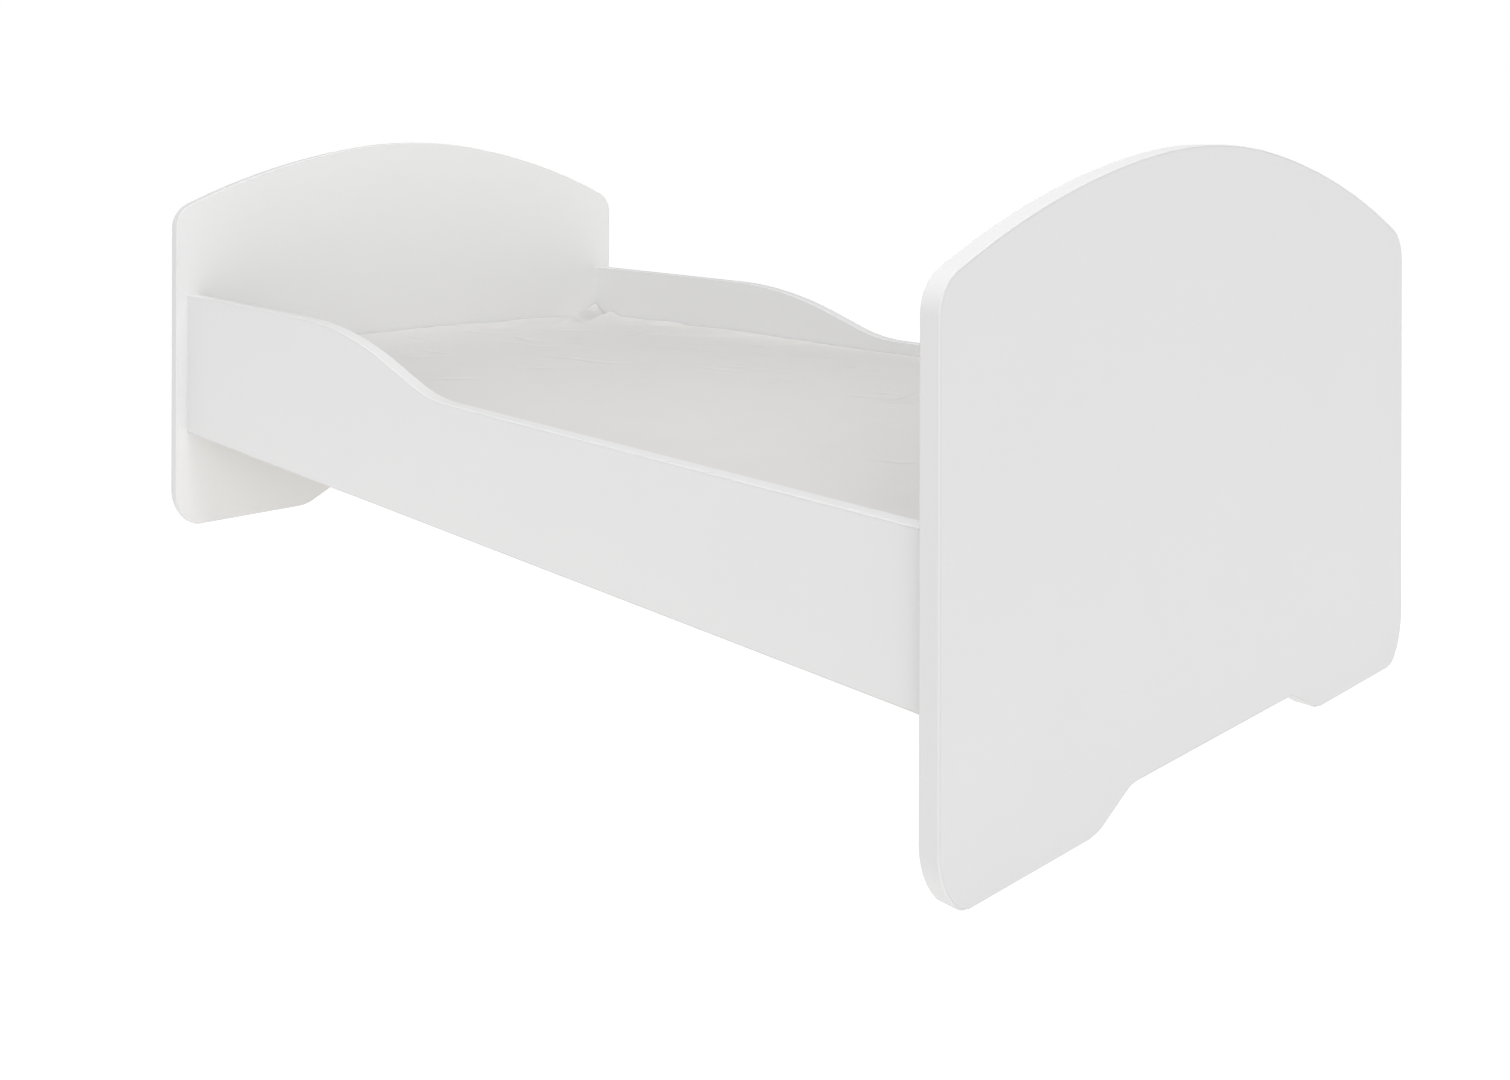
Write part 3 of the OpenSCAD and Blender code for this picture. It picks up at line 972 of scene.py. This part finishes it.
def pine(name, axis, light, dark):
    """Planed wood with its grain along an axis: growth lines, fibres and a few knots."""
    surface = Surface(name, light, 0.55)
    place = surface.coordinates(drawn_out(axis, 0.55, 9.0))
    drift = surface.noise(place, 1.6, detail=3, distortion=0.6)
    rings = surface.waves(place, "DIAGONAL", 3.4, distortion=9.0, detail=3.0, detail_scale=0.8)
    growth = surface.math("MULTIPLY", rings, surface.between(drift, 0.5, 1.1))
    fibres = surface.noise(surface.coordinates(drawn_out(axis, 14.0, 700.0)), 1.0, detail=3)
    knots = surface.cells(surface.coordinates(drawn_out(axis, 3.4, 11.0)), 1.0)
    knot = surface.between(knots, 1.0, 0.0, 0.05, 0.14)
    tone = surface.math("MAXIMUM", surface.weighted(growth, 0.72, fibres, 0.28), knot)
    color = surface.ramp(tone, (0.18, light), (0.62, dark), (1.0, tuple(c * 0.45 for c in dark)))
    surface.link(color, "Base Color")
    surface.dullness(tone, 0.46, 0.62)
    surface.bump(surface.math("ADD", fibres, surface.math("MULTIPLY", growth, 0.6)), 0.35, 0.25)
    return surface.material


def crease_shade_lines(surface):
    """The sharp bottom of every crease, from 0 to 1, finer than the mesh can hold, as a mask for painted
    shade and a fold bump.
    """
    lines = 0.0
    for index in range(1 + len(WRINKLES)):
        kept = surface.node("ShaderNodeAttribute", attribute_name=f"creases_{index}")
        parts = surface.node("ShaderNodeSeparateXYZ", {"Vector": kept.outputs["Vector"]})
        away = surface.math("ABSOLUTE", parts.outputs["X"], 0.0)
        line = surface.between(away, 1.0, 0.0, 0.0, LINE_W * MM)
        line = surface.math("MULTIPLY", line, surface.math("MINIMUM", parts.outputs["Y"], 1.0))
        lines = surface.math("MAXIMUM", line, lines)
    return lines


def sheet_cotton():
    """Plain cotton jersey in a warm pale grey, with a fine weave, faint slubs and painted shade that
    darkens the bottoms of the creases.
    """
    surface = Surface(
        "sheet_cotton", (0.596, 0.587, 0.574), 0.88, specular=0.25, sheen_weight=0.12, sheen_roughness=0.5,
    )
    flat = surface.coordinates(uv="cloth")
    cloud = surface.noise(flat, 14, detail=4)
    slub = surface.noise(surface.coordinates((60, 420, 1), uv="cloth"), 1.0, detail=2)
    mix = surface.weighted(cloud, 0.6, slub, 0.4)
    lines = crease_shade_lines(surface)
    plain = surface.between(mix, 0.72, 0.88, 0.3, 0.7)
    # The base colour is darkened toward the dark stop along the crease lines: painted crease shade.
    tone = surface.ramp(
        surface.math("SUBTRACT", plain, surface.math("MULTIPLY", lines, 0.54)),
        (0.0, (0.44, 0.431, 0.418)), (0.72, (0.587, 0.578, 0.565)), (0.88, (0.601, 0.592, 0.579)),
    )
    surface.link(tone, "Base Color")
    surface.dullness(cloud, 0.84, 0.94)
    weft, warp = (surface.waves(flat, axis, 260.0, distortion=1.4, detail=1.0) for axis in "XY")
    weave = surface.math("MULTIPLY", weft, warp)
    fuzz = surface.noise(flat, 420, detail=3)
    folded = surface.bump(surface.math("MULTIPLY", lines, -1.0), 0.2, 0.5)
    coarse = surface.bump(fuzz, 0.18, 0.35, under=folded)
    surface.bump(weave, 0.22, 0.2, under=coarse)
    return surface.material


def ticking():
    """The mattress cover's white quilted fabric."""
    surface = Surface("ticking", (0.82, 0.815, 0.79), 0.8, sheen_weight=0.1)
    flat = surface.coordinates(uv="cloth")
    surface.tones(surface.noise(flat, 30, 4), (0.80, 0.795, 0.77), (0.845, 0.84, 0.82))
    surface.dullness(surface.noise(flat, 90, 2), 0.74, 0.88)
    surface.bump(surface.waves(flat, "DIAGONAL", 190.0), 0.3, 0.25)
    return surface.material


def woven_tape(name, color, scale):
    """A woven band: ribs across it and a fine weave."""
    surface = Surface(name, color, 0.78, sheen_weight=0.08)
    place = surface.coordinates()
    ribs = surface.waves(place, "X", scale, distortion=0.8)
    yarns = surface.waves(place, "Y", 0.6 * scale, distortion=0.8)
    dark = tuple(c * 0.86 for c in color)
    weave = surface.math("MULTIPLY", ribs, yarns)
    surface.link(surface.ramp(weave, (0.0, dark), (0.7, color)), "Base Color")
    surface.dullness(surface.noise(place, 160, 2), 0.7, 0.86)
    surface.bump(weave, 0.5, 0.4)
    return surface.material


def metal(name, color, rough_low, rough_high, grain):
    """Plated metal, with stretched scratches and uneven gloss."""
    surface = Surface(name, color, rough_low, metallic=1.0)
    scratches = surface.noise(surface.coordinates(grain), 1.0, detail=4, roughness=0.65)
    cloud = surface.noise(surface.coordinates(), 90, detail=3)
    dull = tuple(c * 0.88 for c in color)
    surface.link(surface.ramp(cloud, (0.35, dull), (0.7, color)), "Base Color")
    surface.dullness(cloud, rough_low, rough_high, 0.3, 0.7)
    surface.bump(scratches, 0.2, 0.05)
    return surface.material


def open_foam():
    """Cream polyurethane foam with open cells."""
    surface = Surface("open_foam", (0.80, 0.76, 0.60), 0.95)
    place = surface.coordinates()
    surface.tones(surface.noise(place, 12, 3), (0.77, 0.72, 0.56), (0.83, 0.79, 0.64))
    surface.dullness(surface.noise(place, 50, 2), 0.9, 1.0)
    surface.bump(surface.cells(place, 620.0), 0.6, 0.6)
    return surface.material


# ---- Pieces ----

laminate = white_laminate()
edging = white_edging()
slat_pine = pine("slat_pine", 1, (0.80, 0.75, 0.66), (0.70, 0.61, 0.49))
batten_pine = pine("batten_pine", 0, (0.79, 0.74, 0.65), (0.68, 0.59, 0.48))
beech = pine("beech", 0, (0.66, 0.45, 0.28), (0.52, 0.33, 0.19))
zinc = metal("bright_zinc", (0.74, 0.75, 0.77), 0.28, 0.45, (300, 300, 300))
steel = metal("bright_steel", (0.60, 0.61, 0.62), 0.25, 0.42, (60, 900, 900))
tape_cloth = woven_tape("tape_cloth", (0.78, 0.76, 0.70), 420.0)
elastic_cloth = woven_tape("elastic_cloth", (0.80, 0.79, 0.77), 520.0)
cotton = sheet_cotton()
cover_cloth = ticking()
foam = open_foam()

CAD_MATERIALS = {
    "headboard_panel": laminate,
    "footboard_panel": laminate,
    "front_rail_panel": laminate,
    "rear_rail_panel": laminate,
    "front_batten": batten_pine,
    "rear_batten": batten_pine,
    "batten_screws": zinc,
    "cam_locks": zinc,
    "cam_bolts": steel,
    "dowels": beech,
    "slat_staples": steel,
}
for node_name, finish in CAD_MATERIALS.items():
    set_material(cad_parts[node_name], finish)


def place_piece(obj, material, body, slot, *nodes):
    """Gives a piece its material and its body, and hides the CAD nodes that it stands for. Its slot is not
    used.
    """
    set_material(obj, material)
    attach(obj, body)
    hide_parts(*nodes)
    return obj


for side, edging_box in (("headboard", HEAD_BOX), ("footboard", FOOT_BOX)):
    strip = end_edging(f"{side}_edging", edging_box)
    place_piece(strip, edging, "frame", "edging", f"{side}_edge_band")
for side, edging_box in (("front_rail", FRONT_BOX), ("rear_rail", REAR_BOX)):
    strip = rail_edging(f"{side}_edging", edging_box)
    place_piece(strip, edging, "frame", "edging", f"{side}_edge_band")

for number in range(1, SLAT_COUNT + 1):
    place_piece(slat_board(number), slat_pine, "slat_base", "pine", f"slat_{number:02d}")
for side in ("front", "rear"):
    tape = webbing(f"{side}_webbing", f"{side}_slat_tape")
    place_piece(tape, tape_cloth, "slat_base", "webbing", f"{side}_slat_tape")

block = place_piece(foam_block(), foam, "mattress", "foam", "mattress_core")
cover = place_piece(quilted_cover(), cover_cloth, "mattress", "ticking", "mattress_cover_top")
base = place_piece(quilted_base(), cover_cloth, "mattress", "ticking", "mattress_cover_base")
piping = cover_piping()
set_material(piping, tape_cloth)
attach(piping, "mattress")
elastic = place_piece(hem_elastic(), elastic_cloth, "mattress", "elastic", "sheet_elastic")
sheet = place_piece(cotton_sheet(), cotton, "mattress", "sheet_cloth", "fitted_sheet")

# ---- Floor, light and camera ----


def pale_floor():
    """A plain floor just below the feet, which glows a little, so that it comes out white."""
    size, drop = 12000.0, 0.3
    corners = [(-size, -size, -drop), (size, -size, -drop), (size, size, -drop), (-size, size, -drop)]
    floor = add_object("floor", corners, [(0, 1, 2, 3)])
    surface = Surface("pale_floor", (0.33, 0.33, 0.33), 0.9, specular=0.0)
    surface.shader.inputs["Emission Color"].default_value = (1, 1, 1, 1)
    surface.shader.inputs["Emission Strength"].default_value = 0.88
    set_material(floor, surface.material)


def studio_dome():
    """White surroundings, dimmer overhead where the softbox takes over."""
    world = bpy.data.worlds.new("studio")
    bpy.context.scene.world = world
    world.use_nodes = True
    nodes, links = world.node_tree.nodes, world.node_tree.links
    direction = nodes.new("ShaderNodeTexCoord")
    parts = nodes.new("ShaderNodeSeparateXYZ")
    height = nodes.new("ShaderNodeMapRange")
    for socket, value in (("From Min", 0.12), ("From Max", 0.45), ("To Min", 1.0), ("To Max", 0.2)):
        height.inputs[socket].default_value = value
    links.new(direction.outputs["Generated"], parts.inputs["Vector"])
    links.new(parts.outputs["Z"], height.inputs["Value"])
    links.new(height.outputs["Result"], nodes["Background"].inputs["Strength"])
    nodes["Background"].inputs["Color"].default_value = (1, 1, 1, 1)


def soft_light(name, place, target, size, power):
    """A round softbox that the camera doesn't see."""
    lamp = bpy.data.lights.new(name, "AREA")
    lamp.shape = "DISK"
    lamp.size = size
    lamp.energy = power
    obj = bpy.data.objects.new(name, lamp)
    obj.location = place
    obj.rotation_euler = (Vector(target) - Vector(place)).to_track_quat("-Z", "Y").to_euler()
    obj.visible_camera = False
    bpy.context.scene.collection.objects.link(obj)


def soft_sun(name, travel, spread, strength):
    """A wide, soft light from one direction."""
    lamp = bpy.data.lights.new(name, "SUN")
    lamp.angle = math.radians(spread)
    lamp.energy = strength
    obj = bpy.data.objects.new(name, lamp)
    obj.rotation_euler = Vector(travel).to_track_quat("-Z", "Y").to_euler()
    bpy.context.scene.collection.objects.link(obj)


def photo_camera():
    """A level camera beside the foot end, its view shifted down to take in the whole bed."""
    yaw, pitch, roll = 0.7484, -0.0019, 0.0025
    forward = Vector((
        -math.cos(yaw) * math.cos(pitch), math.sin(yaw) * math.cos(pitch), -math.sin(pitch),
    ))
    right = Vector((math.sin(yaw), math.cos(yaw), 0))
    up = right.cross(forward)
    turned_right = right * math.cos(roll) + up * math.sin(roll)
    turned_up = up * math.cos(roll) - right * math.sin(roll)
    camera = bpy.data.cameras.new("camera")
    camera.sensor_width = 36.0
    camera.lens = 33.89
    camera.shift_y = -0.2641
    obj = bpy.data.objects.new("camera", camera)
    axes = Matrix((turned_right, turned_up, -forward)).transposed()
    obj.matrix_world = Matrix.Translation((1.5684, -1.3429, 0.6364)) @ axes.to_4x4()
    bpy.context.scene.collection.objects.link(obj)
    bpy.context.scene.camera = obj


pale_floor()
studio_dome()
soft_light("overhead_softbox", (0.35, -0.5, 3.0), (0, 0, 0.3), 1.6, 58.5)
soft_light("foot_softbox", (3.2, -1.2, 2.8), (-0.6, 0.1, 0.4), 2.0, 16.0)
soft_sun("window_light", (-0.65, 0.65, -0.45), 40, 0.95)
photo_camera()
bpy.context.scene.view_settings.view_transform = "Standard"
